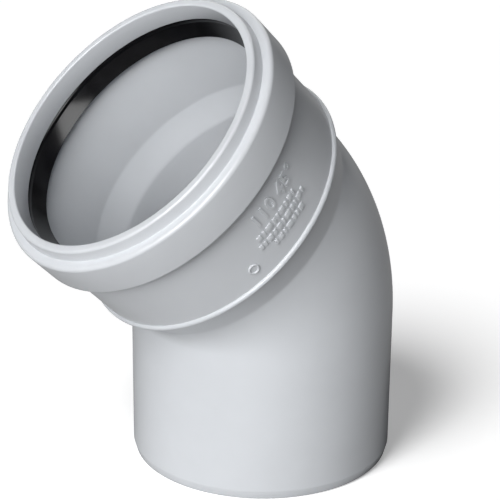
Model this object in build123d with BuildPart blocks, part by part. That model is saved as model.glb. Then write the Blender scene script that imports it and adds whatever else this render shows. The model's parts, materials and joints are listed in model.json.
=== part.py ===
"""A 110 mm push-fit drain bend in grey PVC-U: a plain spigot, a 45 degree bend and a ring-seal socket.

The fitting is three pieces. One moulding holds the spigot, the bend and the socket's neck, with an
open seal chamber round its mouth. A black rubber lip seal lies in the chamber. A cap pushes on over
the chamber, holds the seal in, and ends in the lip that a pipe enters by.

The bend's centre line lies in the XZ plane. The origin is the centre of the spigot's end face, with
+Z up the spigot, and the socket leans towards +X. Heights along the socket are measured on its own
axis, from the end of the bend.
"""

import os
from math import cos, radians, sin

from build123d import *

os.makedirs("parts", exist_ok=True)

# Driving dimensions, in millimetres and degrees.

pipe_radius = 55.0  # a 110 mm drain pipe, and the outside of the spigot
pipe_wall = 3.2
spigot_length = 63.0  # straight part, from the end face to the start of the bend
spigot_chamfer = 1.1  # depth of the lead-in round the spigot's end
spigot_chamfer_height = 4.0
bend_radius = 60.0  # to the centre line
bend_angle = 45.0

socket_wall = 3.5
socket_clearance = 0.6  # between a pipe and the socket's neck, on the radius
shoulder_start = 1.6  # where the bend's tube starts to widen into the neck
shoulder_end = 13.6
shoulder_blend = 2.5
pipe_stop = 4.0  # the socket's bore narrows down to here, so an inserted pipe stops on the slope
pipe_stop_slope = 13.0
rib_height = 14.5
rib_rise = 1.2
rib_half_width = 1.2
step_height = 49.2  # where the neck steps out round the seal chamber
chamber_floor = 51.6
chamber_rim = 60.8
chamber_radius = 59.4
chamber_wall = 1.9

body_gap = 0.3  # between pieces that come apart

cap_back = 48.6
cap_front = 65.2
cap_radius = 63.5
cap_front_round = 1.8
cap_edge_round = 0.9
mouth_end = 70.1
mouth_radius = 55.3
mouth_lip_radius = 58.8
mouth_lip_root_radius = 59.5  # the lip is thicker where it stands on the cap's front wall
mouth_outer_round = 1.2
mouth_inner_round = 0.7
lip_root_round = 0.3

seal_lip_radius = 52.4  # the free lip is smaller than the pipe, so that it wipes it
seal_lip_height = 53.5
seal_lip_thickness = 1.3
seal_lip_setback = 0.5  # of the lip's outer edge behind its wiping edge
seal_bead_radius = 55.6
seal_bead_height = 59.4
seal_bead_chamfer = 0.4
seal_ring_thickness = 1.9
seal_root_height = 57.4

# Sizes that follow from them.

bore_radius = pipe_radius - pipe_wall
socket_bore_radius = pipe_radius + socket_clearance
neck_radius = socket_bore_radius + socket_wall
chamber_outer_radius = chamber_radius + chamber_wall
cap_inner_radius = chamber_outer_radius + body_gap
cap_wall_back = chamber_rim + body_gap
seal_outer_radius = chamber_radius - body_gap
seal_back = chamber_floor + body_gap
seal_front = cap_wall_back - body_gap

turn = radians(bend_angle)
bend_axis = Axis((bend_radius, 0, spigot_length), (0, 1, 0))
socket_start = Vector(bend_radius * (1 - cos(turn)), 0, spigot_length + bend_radius * sin(turn))
socket_axis = Axis(socket_start, (sin(turn), 0, cos(turn)))
# Profiles of the socket are drawn as (distance from the axis, height along it).
socket_plane = Plane(origin=socket_start, x_dir=(cos(turn), 0, -sin(turn)), z_dir=(0, -1, 0))


def corners(profile, *points):
    """The corners of a profile that lie nearest to the given points, for rounding."""
    return [profile.vertices().sort_by_distance((x, y, 0))[0] for x, y in points]


# Bend body: spigot, bend and socket neck in one moulding.

with BuildPart() as bend_body:
    # Spigot: a straight tube with a slim lead-in chamfer.
    with BuildSketch(Plane.XZ):
        with BuildLine():
            Polyline(
                (bore_radius, 0),
                (pipe_radius - spigot_chamfer, 0),
                (pipe_radius, spigot_chamfer_height),
                (pipe_radius, spigot_length),
                (bore_radius, spigot_length),
                close=True,
            )
        make_face()
    revolve(axis=Axis.Z)

    # Bend: the same tube turned about the centre of the bend.
    with BuildSketch(Plane.XY.offset(spigot_length)):
        Circle(pipe_radius)
        Circle(bore_radius, mode=Mode.SUBTRACT)
    revolve(axis=bend_axis, revolution_arc=bend_angle)

    # Socket: the tube widens to the neck, and the neck steps out round the seal chamber.
    with BuildSketch(socket_plane) as socket_profile:
        with BuildLine():
            Polyline(
                (bore_radius, 0),
                (pipe_radius, 0),
                (pipe_radius, shoulder_start),
                (neck_radius, shoulder_end),
                (neck_radius, step_height),
                (chamber_outer_radius, step_height),
                (chamber_outer_radius, chamber_rim),
                (chamber_radius, chamber_rim),
                (chamber_radius, chamber_floor),
                (socket_bore_radius, chamber_floor),
                (socket_bore_radius, pipe_stop + pipe_stop_slope),
                (bore_radius, pipe_stop),
                close=True,
            )
        make_face()
        fillet(corners(socket_profile, (pipe_radius, shoulder_start)), shoulder_blend)
        # A half-round rib rings the neck just above the shoulder.
        with Locations((neck_radius, rib_height)):
            Ellipse(rib_rise, rib_half_width)
    revolve(axis=socket_axis)

bend_body.part.label = "bend_body"
export_step(bend_body.part, "parts/bend_body.step")


# Lip seal: a rubber ring in the chamber, with a cone-shaped lip that points into the socket.

with BuildPart() as lip_seal:
    with BuildSketch(socket_plane) as seal_profile:
        with BuildLine():
            Polyline(
                (seal_outer_radius, seal_back),
                (seal_outer_radius, seal_front),
                (seal_bead_radius + seal_bead_chamfer, seal_front),
                (seal_bead_radius, seal_bead_height),
                (seal_lip_radius, seal_lip_height),
                (seal_lip_radius + seal_lip_thickness, seal_lip_height - seal_lip_setback),
                (seal_outer_radius - seal_ring_thickness, seal_root_height),
                (seal_outer_radius - seal_ring_thickness, seal_back),
                close=True,
            )
        make_face()
    revolve(axis=socket_axis)

lip_seal.part.label = "lip_seal"
export_step(lip_seal.part, "parts/lip_seal.step")


# Retaining cap: a skirt over the chamber, a front wall that holds the seal in, and the mouth's lip.

with BuildPart() as retaining_cap:
    with BuildSketch(socket_plane) as cap_profile:
        with BuildLine():
            Polyline(
                (cap_inner_radius, cap_back),
                (cap_radius, cap_back),
                (cap_radius, cap_front),
                (mouth_lip_root_radius, cap_front),
                (mouth_lip_radius, mouth_end),
                (mouth_radius, mouth_end),
                (mouth_radius, cap_wall_back),
                (cap_inner_radius, cap_wall_back),
                close=True,
            )
        make_face()
        fillet(corners(cap_profile, (cap_radius, cap_front)), cap_front_round)
        fillet(corners(cap_profile, (cap_radius, cap_back)), cap_edge_round)
        fillet(corners(cap_profile, (mouth_lip_radius, mouth_end)), mouth_outer_round)
        fillet(corners(cap_profile, (mouth_radius, mouth_end)), mouth_inner_round)
        fillet(corners(cap_profile, (mouth_lip_root_radius, cap_front)), lip_root_round)
    revolve(axis=socket_axis)

retaining_cap.part.label = "retaining_cap"
export_step(retaining_cap.part, "parts/retaining_cap.step")
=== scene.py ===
# %% [markdown]
# # A grey push-fit pipe elbow
#
# The object is a 45 degree bend for 110 mm drain pipe, moulded in light grey PVC-U. A plain spigot
# stands on the floor, the tube turns, and a wider socket leans out at the top. A cap rings the
# socket's mouth and holds a black rubber lip seal behind its front wall.
#
# The engineering model gives the frame: where each body is, how large it is, and what moves. This
# script makes the looks around it: finer walls with rounded edges, moulded marks, plastic and rubber.

# %% Load the frame

import json
from math import atan2, cos, degrees, pi, radians, sin, tan

import bpy
from mathutils import Euler, Matrix, Vector


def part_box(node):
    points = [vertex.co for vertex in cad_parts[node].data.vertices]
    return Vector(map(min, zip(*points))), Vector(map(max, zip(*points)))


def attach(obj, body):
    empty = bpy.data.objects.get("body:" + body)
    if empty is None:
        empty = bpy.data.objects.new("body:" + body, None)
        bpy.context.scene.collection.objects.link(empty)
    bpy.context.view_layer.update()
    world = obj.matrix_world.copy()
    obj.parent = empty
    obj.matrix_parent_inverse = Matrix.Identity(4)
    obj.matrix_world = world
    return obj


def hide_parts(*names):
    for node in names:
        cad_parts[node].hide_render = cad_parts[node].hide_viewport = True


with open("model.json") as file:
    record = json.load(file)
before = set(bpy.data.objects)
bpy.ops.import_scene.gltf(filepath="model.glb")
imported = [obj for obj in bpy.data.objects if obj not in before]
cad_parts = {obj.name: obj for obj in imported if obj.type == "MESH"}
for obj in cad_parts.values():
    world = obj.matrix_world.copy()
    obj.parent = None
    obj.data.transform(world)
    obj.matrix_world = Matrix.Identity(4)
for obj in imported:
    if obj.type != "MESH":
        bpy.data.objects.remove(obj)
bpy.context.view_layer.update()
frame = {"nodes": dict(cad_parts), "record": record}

MM = 0.001
for name in frame["nodes"]:
    low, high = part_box(name)
    print(name, [round(x / MM, 1) for x in high - low], "mm")

# %% [markdown]
# ## Reading the bend's geometry from the frame
#
# Two lines hold the whole fitting together: the spigot's axis, which is Z, and the socket's axis,
# which the frame's mounts give. They cross at a corner, and the bend is the arc that rounds that
# corner off. Knowing where the spigot's straight part ends, we can work out the bend's radius.

# %% The two axes and the bend between them

mounts = {m["name"]: m for m in frame["record"]["mounts"]}
socket_axis = Vector(mounts["socket"]["axis"]).normalized()
mouth_middle = Vector(mounts["socket"]["pos_m"])
pipe_radius = mounts["spigot"]["dims"]["r_mm"]
bore_radius = mounts["spigot_bore"]["dims"]["r_mm"]
mouth_radius = mounts["socket"]["dims"]["r_mm"]
spigot_length = mounts["spigot_bore"]["dims"]["length_mm"]

bend_angle = atan2(socket_axis.x, socket_axis.z)
corner_height = mouth_middle.z - mouth_middle.x / tan(bend_angle)
bend_radius = (corner_height - spigot_length * MM) / tan(bend_angle / 2)
bend_centre = Vector((bend_radius, 0, spigot_length * MM))
socket_start = bend_centre + bend_radius * Vector((-cos(bend_angle), 0, sin(bend_angle)))
socket_turn = Euler((0, bend_angle, 0)).to_matrix()
print("bend", round(degrees(bend_angle), 2), "degrees, radius", round(bend_radius / MM, 2), "mm")

# %% [markdown]
# ## The camera
#
# A long lens a little above the mouth looks down at the fitting. The camera is placed by its
# direction from a point inside the object, so that the view is easy to read and to change.

# %% Camera

view_azimuth = radians(142.65)
view_elevation = radians(20.37)
view_distance = 728.4 * MM
view_roll = radians(0.56)
look_at = Vector((4.3, -3.3, 87.9)) * MM
lens_length = 125.47
sensor_width = 36


def direction(azimuth, elevation):
    """The way from the object to a place round it: azimuth 0 is the side of -Y, and 90 that of +X."""
    flat = cos(elevation)
    return Vector((sin(azimuth) * flat, -cos(azimuth) * flat, sin(elevation)))


bpy.ops.object.camera_add()
camera = bpy.context.object
camera.name = "camera"
camera.data.lens = lens_length
camera.data.sensor_width = sensor_width
back = direction(view_azimuth, view_elevation)
camera.location = look_at + back * view_distance
camera.rotation_mode = "QUATERNION"
camera.rotation_quaternion = (-back).to_track_quat("-Z", "Y")
camera.rotation_quaternion @= Euler((0, 0, view_roll)).to_quaternion()
bpy.context.scene.camera = camera
print("camera at", [round(x, 3) for x in camera.location], "m")

# %% [markdown]
# ## The floor
#
# The floor is one pale, matt sheet, so large that its far edge never shows. It could curve up into a
# backdrop, but every view looks down on the object, so a flat sheet is enough.

# %% Floor

floor_size = 60.0
bpy.ops.object.select_all(action="DESELECT")
bpy.ops.mesh.primitive_plane_add(size=floor_size)
floor = bpy.context.object
floor.name = "floor"
print("the floor is", floor_size, "m across")

# %% [markdown]
# ## The lamps
#
# Two soft boxes in front of the mouth and a weak sun up to the left light the object, so the socket's
# inside is bright and the far side falls off into grey. A weak box behind it draws the top edges.
#
# Light linking picks what a lamp shines on. The soft boxes leave the floor alone, and a second sun
# shines only on the floor, so that its shadow can be as dark and soft as we like. The gleam box will
# shine only on the rubber seal, once that is made, and gives it its one pale reflection.

# %% Helpers for lamps

lamp_distance = 3.0


def lamp(name, kind, azimuth, elevation, energy, spread):
    """A lamp turned to face the object. The spread is a sun's angle or the side of a soft box."""
    away = direction(radians(azimuth), radians(elevation))
    bpy.ops.object.light_add(type=kind, location=look_at + away * lamp_distance)
    made = bpy.context.object
    made.name = name
    made.rotation_euler = away.to_track_quat("Z", "Y").to_euler()
    made.data.energy = energy
    if kind == "SUN":
        made.data.angle = radians(spread)
    else:
        made.data.size = spread
    return made


def shine_on(light, thing, state="INCLUDE"):
    """Make a lamp shine only on one thing, or on all but that thing."""
    light.light_linking.receiver_collection = bpy.data.collections.new(light.name + "_link")
    linked = light.light_linking.receiver_collection
    linked.objects.link(thing)
    linked.collection_objects[0].light_linking.link_state = state


# %% Set the lamps

lamp("key_light", "SUN", azimuth=105, elevation=50, energy=0.62, spread=20)
floor_sun = lamp("floor_sun", "SUN", azimuth=105, elevation=50, energy=2.2, spread=26)
front_box = lamp("front_soft_box", "AREA", azimuth=125, elevation=27, energy=78, spread=2.2)
left_box = lamp("left_soft_box", "AREA", azimuth=110, elevation=11, energy=46, spread=2.0)
back_box = lamp("back_soft_box", "AREA", azimuth=316, elevation=32, energy=30, spread=2.5)
gleam_box = lamp("gleam_box", "AREA", azimuth=172, elevation=29, energy=66, spread=1.7)

shine_on(floor_sun, floor)
for box in (front_box, left_box, back_box):
    shine_on(box, floor, "EXCLUDE")
print("the soft boxes stand", lamp_distance, "m away")

# %% Sky

sky_blue = (0.9, 0.93, 1.0, 1)
sky_strength = 0.03
world = bpy.data.worlds.new("sky")
world.use_nodes = True
sky = world.node_tree.nodes["Background"]
sky.inputs["Color"].default_value = sky_blue
sky.inputs["Strength"].default_value = sky_strength
bpy.context.scene.world = world
bpy.context.scene.view_settings.view_transform = "Standard"
print("sky strength", sky_strength)

# %% [markdown]
# ## Making a material
#
# Every finish here is a small node tree. Two helpers keep the trees short: one turns a hex colour
# into the linear numbers that a shader wants, and one adds a node with its settings and links.

# %% Helpers for materials


def colour(hex_code):
    """An sRGB hex colour as linear red, green, blue and alpha."""
    parts = [int(hex_code[i:i + 2], 16) / 255 for i in (1, 3, 5)]
    linear = [p / 12.92 if p <= 0.04045 else ((p + 0.055) / 1.055) ** 2.4 for p in parts]
    return (*linear, 1.0)


def new_material(name):
    """A material with an empty node tree."""
    material = bpy.data.materials.new(name)
    material.use_nodes = True
    material.node_tree.nodes.clear()
    return material


def node(material, kind, settings=None, **sockets):
    """Add a node. Settings are its own fields; a socket takes a value, or another node's output."""
    made = material.node_tree.nodes.new(kind)
    for field, value in (settings or {}).items():
        setattr(made, field, value)
    for socket, value in sockets.items():
        entry = made.inputs[socket.replace("_", " ")]
        if isinstance(value, bpy.types.NodeSocket):
            material.node_tree.links.new(value, entry)
        else:
            entry.default_value = value
    return made


# %% [markdown]
# ## Moulded PVC-U
#
# PVC-U for soil pipe is a dense, slightly waxy plastic, filled to an even light grey. The mould
# is polished, so the skin is satin: soft reflections with clean bright lines on rounded edges. Its
# index of refraction is about 1.54. Close up, the melt leaves faint cloudy streaks where it flowed,
# and a low orange peel. Both are drawn a little coarser than they are, so that they just show.

# %% Grey PVC


sheen_spread = 0.02     # how far the roughness wanders


def moulded_pvc(name, light, dark, roughness):
    """Satin grey PVC-U, with faint flow clouds in its colour and a low orange peel."""
    material = new_material(name)
    place = node(material, "ShaderNodeTexCoord").outputs["Object"]
    # Flow clouds are about 36 mm across, and the patches of duller skin about 11 mm.
    clouds = node(material, "ShaderNodeTexNoise", Vector=place, Scale=28.0, Detail=3.0, Roughness=0.55)
    tint = node(material, "ShaderNodeValToRGB", Fac=clouds.outputs["Fac"])
    tint.color_ramp.elements[0].position = 0.3
    tint.color_ramp.elements[0].color = colour(dark)
    tint.color_ramp.elements[1].position = 0.7
    tint.color_ramp.elements[1].color = colour(light)
    smear = node(material, "ShaderNodeTexNoise", Vector=place, Scale=90.0, Detail=4.0)
    sheen = node(
        material, "ShaderNodeMapRange", Value=smear.outputs["Fac"],
        To_Min=roughness - sheen_spread, To_Max=roughness + sheen_spread,
    )
    # Orange peel has dimples about 2 mm across and far under 0.2 mm deep.
    peel = node(material, "ShaderNodeTexNoise", Vector=place, Scale=500.0, Detail=1.0)
    bump = node(material, "ShaderNodeBump", Strength=0.04, Distance=0.0002, Height=peel.outputs["Fac"])
    shader = node(
        material, "ShaderNodeBsdfPrincipled", Base_Color=tint.outputs["Color"],
        Roughness=sheen.outputs["Result"], IOR=1.54, Normal=bump.outputs["Normal"],
    )
    node(material, "ShaderNodeOutputMaterial", Surface=shader.outputs["BSDF"])
    return material


body_pvc = moulded_pvc("moulded_pvc_body", light="#C9CCD0", dark="#C4C7CB", roughness=0.24)
cap_pvc = moulded_pvc("moulded_pvc_cap", light="#CBCED2", dark="#C6C9CD", roughness=0.23)
print("made", body_pvc.name, "and", cap_pvc.name)

# %% [markdown]
# ## Seal rubber
#
# The seal is moulded rubber, left glossy by a film of silicone grease, so it is nearly black with
# sharp dark reflections. A little dust greys it in patches.

# %% Black rubber


def greased_rubber(name, black, dusty):
    """Nearly black rubber, wet with grease, with a faint uneven film of dust."""
    material = new_material(name)
    place = node(material, "ShaderNodeTexCoord").outputs["Object"]
    # Dust gathers in patches about 7 mm across. The grain is about 1 mm, coarser than it really is.
    film = node(material, "ShaderNodeTexNoise", Vector=place, Scale=140.0, Detail=4.0)
    tint = node(material, "ShaderNodeValToRGB", Fac=film.outputs["Fac"])
    tint.color_ramp.elements[0].position = 0.45
    tint.color_ramp.elements[0].color = colour(black)
    tint.color_ramp.elements[1].position = 0.85
    tint.color_ramp.elements[1].color = colour(dusty)
    gloss = node(
        material, "ShaderNodeMapRange", Value=film.outputs["Fac"], To_Min=0.13, To_Max=0.21,
    )
    grain = node(material, "ShaderNodeTexNoise", Vector=place, Scale=900.0, Detail=2.0)
    bump = node(material, "ShaderNodeBump", Strength=0.08, Distance=0.0001, Height=grain.outputs["Fac"])
    shader = node(
        material, "ShaderNodeBsdfPrincipled", Base_Color=tint.outputs["Color"],
        Roughness=gloss.outputs["Result"], IOR=1.5, Specular_IOR_Level=0.28,
        Normal=bump.outputs["Normal"],
    )
    node(material, "ShaderNodeOutputMaterial", Surface=shader.outputs["BSDF"])
    return material


seal_rubber = greased_rubber("greased_seal_rubber", black="#030304", dusty="#0C0C0E")
print("made", seal_rubber.name)

# %% [markdown]
# ## The floor's finish
#
# White paper: no shine, and a grain too fine to see from here. The camera sees it white, with a
# little glow of its own, so that it runs into one plain white sheet with no horizon. Every other ray
# sees it grey, because a white floor would throw too much light back up on the fitting.

# %% White floor

floor_glow = 0.33


def matt_paper(name, white, grey):
    """Matt paper that the camera sees as glowing white, and every other ray sees as grey."""
    material = new_material(name)
    place = node(material, "ShaderNodeTexCoord").outputs["Object"]
    # Real fibres are far finer than these, which are about 1.4 mm.
    fibres = node(material, "ShaderNodeTexNoise", Vector=place, Scale=700.0, Detail=2.0)
    bump = node(material, "ShaderNodeBump", Strength=0.05, Distance=0.0002, Height=fibres.outputs["Fac"])
    ray = node(material, "ShaderNodeLightPath")
    tint = node(material, "ShaderNodeMix", {"data_type": "RGBA"}, Factor=ray.outputs["Is Camera Ray"])
    glow = node(material, "ShaderNodeMath", {"operation": "MULTIPLY"})
    glow.inputs[1].default_value = floor_glow
    material.node_tree.links.new(ray.outputs["Is Camera Ray"], glow.inputs[0])
    tint.inputs["A"].default_value = colour(grey)
    tint.inputs["B"].default_value = colour(white)
    shader = node(
        material, "ShaderNodeBsdfPrincipled", Roughness=1.0, Specular_IOR_Level=0.0,
        Base_Color=tint.outputs["Result"], Normal=bump.outputs["Normal"],
        Emission_Color=colour(white), Emission_Strength=glow.outputs["Value"],
    )
    node(material, "ShaderNodeOutputMaterial", Surface=shader.outputs["BSDF"])
    return material


floor.data.materials.append(matt_paper("white_paper", white="#FDFDFD", grey="#AAAAAA"))

# %% [markdown]
# ## Drawing out a round wall, ring by ring
#
# Everything on this fitting is round, so every wall is made the same way. We start with one ring of
# edges and draw it out, one step after another. Each step extrudes the ring along the axis and then
# scales it to its new radius. When the last ring comes back to the first, the wall is closed, and
# merging the doubled points makes it one solid skin.

# %% Helpers for round walls

ring_points = 192
round_steps = 8
merge_gap = 0.002 * MM
smooth_angle = radians(35)      # a sharper corner than this stays an edge
print("each ring has", ring_points, "points")


def edit(piece):
    """Start editing a piece, with nothing else selected."""
    if bpy.context.object and bpy.context.object.mode != "OBJECT":
        bpy.ops.object.mode_set(mode="OBJECT")
    bpy.ops.object.select_all(action="DESELECT")
    bpy.context.view_layer.objects.active = piece
    piece.select_set(True)
    bpy.ops.object.mode_set(mode="EDIT")


def first_ring(name, radius, height):
    """A ring of edges about Z, ready to be drawn out, with all its points selected."""
    bpy.ops.object.select_all(action="DESELECT")
    bpy.ops.mesh.primitive_circle_add(
        vertices=ring_points, radius=radius, fill_type="NOTHING", location=(0, 0, height)
    )
    ring = bpy.context.object
    ring.name = name
    bpy.ops.object.transform_apply(location=True)
    edit(ring)
    bpy.ops.mesh.select_all(action="SELECT")
    return ring


def draw_to(here, there, axis=Vector((0, 0, 1)), start=Vector()):
    """Draw the selected ring from one (radius, height) to the next along an axis."""
    rise = axis * (there[1] - here[1])
    bpy.ops.mesh.extrude_region_move(TRANSFORM_OT_translate={"value": rise})
    growth = there[0] / here[0]
    centre = start + axis * there[1]
    bpy.ops.transform.resize(value=(growth, growth, growth), center_override=centre)


def draw_through(profile, axis=Vector((0, 0, 1)), start=Vector()):
    """Draw the selected ring through a whole profile of (radius, height) points."""
    for here, there in zip(profile, profile[1:]):
        draw_to(here, there, axis, start)


def close_wall():
    """Merge the last ring into the first and turn every face outwards."""
    bpy.ops.mesh.select_all(action="SELECT")
    bpy.ops.mesh.remove_doubles(threshold=merge_gap)
    bpy.ops.mesh.normals_make_consistent(inside=False)
    bpy.ops.object.mode_set(mode="OBJECT")


def scaled(profile):
    """A profile written in millimetres, in metres."""
    return [(radius * MM, height * MM) for radius, height in profile]


def quarter_round(centre, radius, first, last, steps=round_steps):
    """Points of an arc of a profile, about (radius, height) centre, from one angle to another."""
    angles = [radians(first + (last - first) * i / steps) for i in range(steps + 1)]
    return [(centre[0] + radius * cos(a), centre[1] + radius * sin(a)) for a in angles]


def lean(piece):
    """Turn a piece built about Z onto the socket's axis, and leave its place in its mesh."""
    piece.matrix_world = Matrix.Translation(socket_start) @ socket_turn.to_4x4()
    bpy.ops.object.select_all(action="DESELECT")
    bpy.context.view_layer.objects.active = piece
    piece.select_set(True)
    bpy.ops.object.transform_apply(location=True, rotation=True, scale=True)


def finish_piece(piece, material, body, slot, *nodes):
    """Shade a piece, give it its material, and hand it to the frame."""
    bpy.ops.object.select_all(action="DESELECT")
    bpy.context.view_layer.objects.active = piece
    piece.select_set(True)
    bpy.ops.object.shade_smooth_by_angle(angle=smooth_angle)
    piece.data.materials.clear()
    piece.data.materials.append(material)
    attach(piece, body)
    if nodes:
        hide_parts(*nodes)
    print(piece.name, len(piece.data.polygons), "faces")


# %% [markdown]
# ## The bend body
#
# The body is one moulding. Its outside starts at the foot with a slim chamfer that eases the spigot
# into the next socket, runs straight up, turns through the bend, swells through a shoulder, and
# passes a half-round rib before the plain neck. At the top the neck steps out to make room for the
# seal. Its inside goes back the same way: the seal's seat, the neck's bore, a sloping stop for the
# pipe, and the water way. Heights on the socket are measured from the end of the bend.

# %% Profile of the socket

neck_radius = 59.1
neck_bore = 55.6
rib_height = 14.5
rib_rise = 1.2
rib_half_width = 1.2
rib_steps = 14
chamber_radius = 61.3
seat_radius = 59.4

shoulder = [(pipe_radius, 0.0), (pipe_radius, 1.0), (55.12, 1.7), (55.4, 2.7), (58.86, 12.9)]
rib_turns = [pi * i / rib_steps for i in range(rib_steps + 1)]
rib = [(neck_radius + rib_rise * sin(t), rib_height - rib_half_width * cos(t)) for t in rib_turns]
chamber_outside = [(neck_radius, 49.0), (59.25, 49.15), (59.45, 49.2), (61.0, 49.2), (61.22, 49.28)]
chamber_rim = [(chamber_radius, 49.5), (chamber_radius, 60.5), (61.22, 60.72), (61.0, 60.8)]
seal_seat = [(59.7, 60.8), (59.48, 60.72), (seat_radius, 60.5), (seat_radius, 51.9), (59.3, 51.68)]
seat_floor = [(59.1, 51.6), (56.0, 51.6), (55.72, 51.5), (neck_bore, 51.2)]
pipe_stop = [(neck_bore, 17.9), (55.55, 17.2), (55.42, 16.4), (52.15, 5.2), (51.88, 4.1)]
water_way = [(bore_radius, 3.0), (bore_radius, 0.0)]

outside = shoulder + rib + chamber_outside + chamber_rim
socket_profile = scaled(outside + seal_seat + seat_floor + pipe_stop + water_way)
print("the socket is drawn through", len(socket_profile), "rings")

# %% Draw the body's wall

bend_steps = 30
foot_radius = 53.35
chamfer = [(53.75, 0.12), (54.0, 0.45), (54.92, 3.75)]
foot_out = [(foot_radius, 0.0), *chamfer, (pipe_radius, 4.1), (pipe_radius, spigot_length)]
foot_lip = [(51.95, 0.12), (52.3, 0.0), (foot_radius, 0.0)]
foot_in = [(bore_radius, spigot_length), (bore_radius, 0.5), *foot_lip]


def turn_ring(angle):
    """Sweep the selected ring round the bend's centre. Spin turns clockwise about its axis."""
    bpy.ops.mesh.spin(steps=bend_steps, angle=-angle, center=bend_centre, axis=(0, 1, 0))


def selected_middle(piece):
    """The middle of the selected points."""
    piece.update_from_editmode()
    chosen = [v.co for v in piece.data.vertices if v.select]
    return sum(chosen, Vector()) / len(chosen)


body = first_ring("elbow_moulding", foot_out[0][0] * MM, 0)
draw_through(scaled(foot_out))
turn_ring(bend_angle)
print("end of the bend", [round(x / MM, 2) for x in selected_middle(body)], "mm")
print("it should be at", [round(x / MM, 2) for x in socket_start], "mm")
draw_through(socket_profile, socket_axis, socket_start)
turn_ring(-bend_angle)
draw_through(scaled(foot_in))
close_wall()
finish_piece(body, body_pvc, "fitting", "grey_pvc", "bend_body")

# %% [markdown]
# ## Raised marks
#
# Pipe fittings carry raised marks on the neck, because the mould has them cut into it. Ours are
# plain ones: the pipe's diameter and the bend's angle as numbers, rows of bars, and a ring. A normal
# map could fake them, but real relief also shows at the edge and in the mesh. Each mark is
# made flat at the origin, and then stood on the neck by a matrix that turns it to face outwards.

# %% A place on the neck

mark_rise = 0.55
mark_sink = 0.25        # how far a mark's foot lies under the skin
mark_merge_gap = 0.005 * MM
upward = Vector((-socket_axis.z, 0, socket_axis.x))
sideways = Vector((0, 1, 0))


def neck_place(turn_degrees, height):
    """A matrix on the neck's skin: X runs round it, Y towards the mouth, and Z outwards."""
    turn = radians(turn_degrees)
    outward = upward * cos(turn) + sideways * sin(turn)
    round_way = socket_axis.cross(outward)
    spot = socket_start + socket_axis * height * MM + outward * neck_radius * MM
    return Matrix.Translation(spot) @ Matrix((round_way, socket_axis, outward)).transposed().to_4x4()


def stand_on_neck(mark, turn_degrees, height):
    """Merge a mark's doubled points, face it outwards, and leave its place on the neck in its mesh."""
    edit(mark)
    bpy.ops.mesh.select_all(action="SELECT")
    bpy.ops.mesh.remove_doubles(threshold=mark_merge_gap)
    bpy.ops.mesh.normals_make_consistent(inside=False)
    bpy.ops.object.mode_set(mode="OBJECT")
    mark.matrix_world = neck_place(turn_degrees, height)
    bpy.ops.object.transform_apply(location=True, rotation=True, scale=True)
    return mark


# %% Numbers, bars and a ring

thickness = mark_rise + mark_sink
middle = (mark_rise - mark_sink) / 2
numeral_share = 0.7     # a numeral is this much of its type size
stroke_growth = 0.16    # moulded strokes are bolder than the type's own
number_bevel = 0.08
bar_bevel = 0.15


def raised_number(character, tall, turn_degrees, height):
    """One numeral, extruded with a slim bevel."""
    bpy.ops.object.select_all(action="DESELECT")
    bpy.ops.object.text_add()
    text = bpy.context.object
    text.data.body = character
    text.data.align_x = "CENTER"
    text.data.align_y = "CENTER"
    text.data.size = tall / numeral_share * MM
    text.data.offset = stroke_growth * MM
    text.data.bevel_depth = number_bevel * MM
    text.data.extrude = (thickness / 2 - number_bevel) * MM
    bpy.ops.object.convert(target="MESH")
    bpy.ops.transform.translate(value=(0, 0, middle * MM))
    bpy.ops.object.transform_apply(location=True)
    return stand_on_neck(bpy.context.object, turn_degrees, height)


def raised_bar(wide, tall, turn_degrees, height):
    """A plain bar with bevelled edges."""
    bpy.ops.object.select_all(action="DESELECT")
    size = Vector((wide, tall, thickness)) * MM
    bpy.ops.mesh.primitive_cube_add(size=1, location=(0, 0, middle * MM), scale=size)
    bar = bpy.context.object
    bpy.ops.object.transform_apply(location=True, scale=True)
    edit(bar)
    bpy.ops.mesh.select_all(action="SELECT")
    bpy.ops.mesh.bevel(offset=bar_bevel * MM, segments=2)
    return stand_on_neck(bar, turn_degrees, height)


def raised_ring(radius, turn_degrees, height):
    """A small ring of half-round section."""
    bpy.ops.object.select_all(action="DESELECT")
    bpy.ops.mesh.primitive_torus_add(
        major_radius=radius * MM, minor_radius=mark_rise * MM, major_segments=40, minor_segments=12
    )
    return stand_on_neck(bpy.context.object, turn_degrees, height)


# %% Set out the marks

degrees_per_mm = degrees(1 / neck_radius)
number_tall = 5.6
number_height = 37.4
number_turn = 96.5
number_pitch = 4.3
space_pitch = 2.4
marks = []
turn = number_turn
for character in f"{2 * pipe_radius:.0f} {degrees(bend_angle):.0f}\u00b0":
    if character == " ":
        turn -= space_pitch * degrees_per_mm
    else:
        marks.append(raised_number(character, number_tall, turn, number_height))
        turn -= number_pitch * degrees_per_mm

bar_widths = [2.2, 1.1, 3.0, 1.6, 1.1, 2.6, 1.4]
bar_tall = 2.3
bar_gap = 0.9
first_row = 31.2
row_pitch = 3.7
bar_rows = [(9, 101.0), (11, 102.5), (7, 97.0)]    # how many bars, and where the row starts
for row, (bars, turn) in enumerate(bar_rows):
    for i in range(bars):
        wide = bar_widths[(i + 3 * row) % len(bar_widths)]
        turn -= wide / 2 * degrees_per_mm
        marks.append(raised_bar(wide, bar_tall, turn, first_row - row_pitch * row))
        turn -= (wide / 2 + bar_gap) * degrees_per_mm
ring_radius = 1.9
marks.append(raised_ring(ring_radius, turn_degrees=109.5, height=22.4))

bpy.ops.object.select_all(action="DESELECT")
for mark in marks:
    mark.select_set(True)
bpy.context.view_layer.objects.active = marks[0]
bpy.ops.object.join()
raised_marks = bpy.context.object
raised_marks.name = "raised_marks"
print(len(marks), "marks stand", mark_rise, "mm proud of the neck")
finish_piece(raised_marks, body_pvc, "fitting", "grey_pvc")

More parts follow.
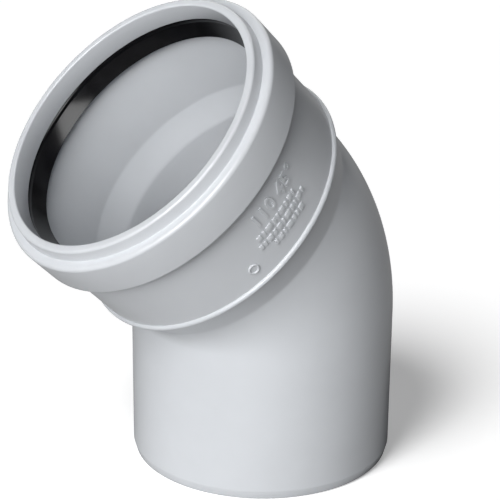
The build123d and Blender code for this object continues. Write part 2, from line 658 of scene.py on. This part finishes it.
# %% [markdown]
# ## The lip seal
#
# The seal is a rubber ring. Its outer band fills the seat, a round bead shows at the front, and a
# thin cone-shaped lip leans back into the socket, where it wipes the pipe.

# %% Draw the seal

seal_profile = scaled([
    (59.1, 52.4),
    (59.1, 60.4),
    (58.9, 60.8),
    (56.6, 60.8),
    (55.9, 60.5),
    (55.55, 59.9),
    (55.6, 59.2),
    (55.5, 58.8),
    (52.6, 53.75),
    (52.4, 53.3),
    (52.7, 52.95),
    (53.3, 53.1),
    (53.8, 53.6),
    (56.7, 57.0),
    (57.1, 57.2),
    (57.2, 56.6),
    (57.2, 52.2),
    (57.5, 51.9),
    (58.8, 51.9),
    (59.1, 52.4),
])
seal = first_ring("rubber_lip_seal", *seal_profile[0])
draw_through(seal_profile)
close_wall()
lean(seal)
finish_piece(seal, seal_rubber, "seal", "seal_rubber", "lip_seal")
shine_on(gleam_box, seal)

# %% [markdown]
# ## The retaining cap
#
# The cap is a second moulding that clicks over the seal chamber and can be pulled off to change the
# seal. Its skirt hides the chamber, its front wall keeps the seal in, and a lip stands up round the
# mouth. Its corners could be left sharp and bevelled afterwards, but the profile is so simple that
# drawing each round as an arc is quicker. The rounds catch the light, so each one gets 8 steps.

# %% Draw the cap

cap_radius = 63.5
skirt_radius = 61.6
cap_back = 48.6
cap_front = 65.2
back_round = 0.9
front_round = 1.8
lip_radius = 58.8
lip_root_radius = 59.5
root_round = 0.3
mouth_end = 70.1
lip_outer_round = 1.2
lip_inner_round = 0.7
wall_back = 61.1

skirt_edge = [(skirt_radius, 49.0), (61.75, 48.68), (62.0, cap_back)]
back_edge = quarter_round((cap_radius - back_round, cap_back + back_round), back_round, -90, 0)
front_edge = quarter_round((cap_radius - front_round, cap_front - front_round), front_round, 0, 90)
lip_root = quarter_round((lip_root_radius + root_round, cap_front + root_round), root_round, 270, 180)
lip_out = (lip_radius - lip_outer_round, mouth_end - lip_outer_round)
lip_in = (mouth_radius + lip_inner_round, mouth_end - lip_inner_round)
lip_outer = quarter_round(lip_out, lip_outer_round, 0, 90)
lip_inner = quarter_round(lip_in, lip_inner_round, 90, 180)
front_wall = [(mouth_radius, 61.4), (55.4, 61.18), (55.6, wall_back), (61.3, wall_back), (61.52, 61.0)]
skirt_inside = [(skirt_radius, 60.8), (skirt_radius, 49.0)]

cap_outside = skirt_edge + back_edge + front_edge + lip_root + lip_outer + lip_inner
cap_profile = scaled(cap_outside + front_wall + skirt_inside)
cap = first_ring("push_on_cap", *cap_profile[0])
draw_through(cap_profile)
close_wall()
lean(cap)
finish_piece(cap, cap_pvc, "cap", "grey_pvc_cap", "retaining_cap")
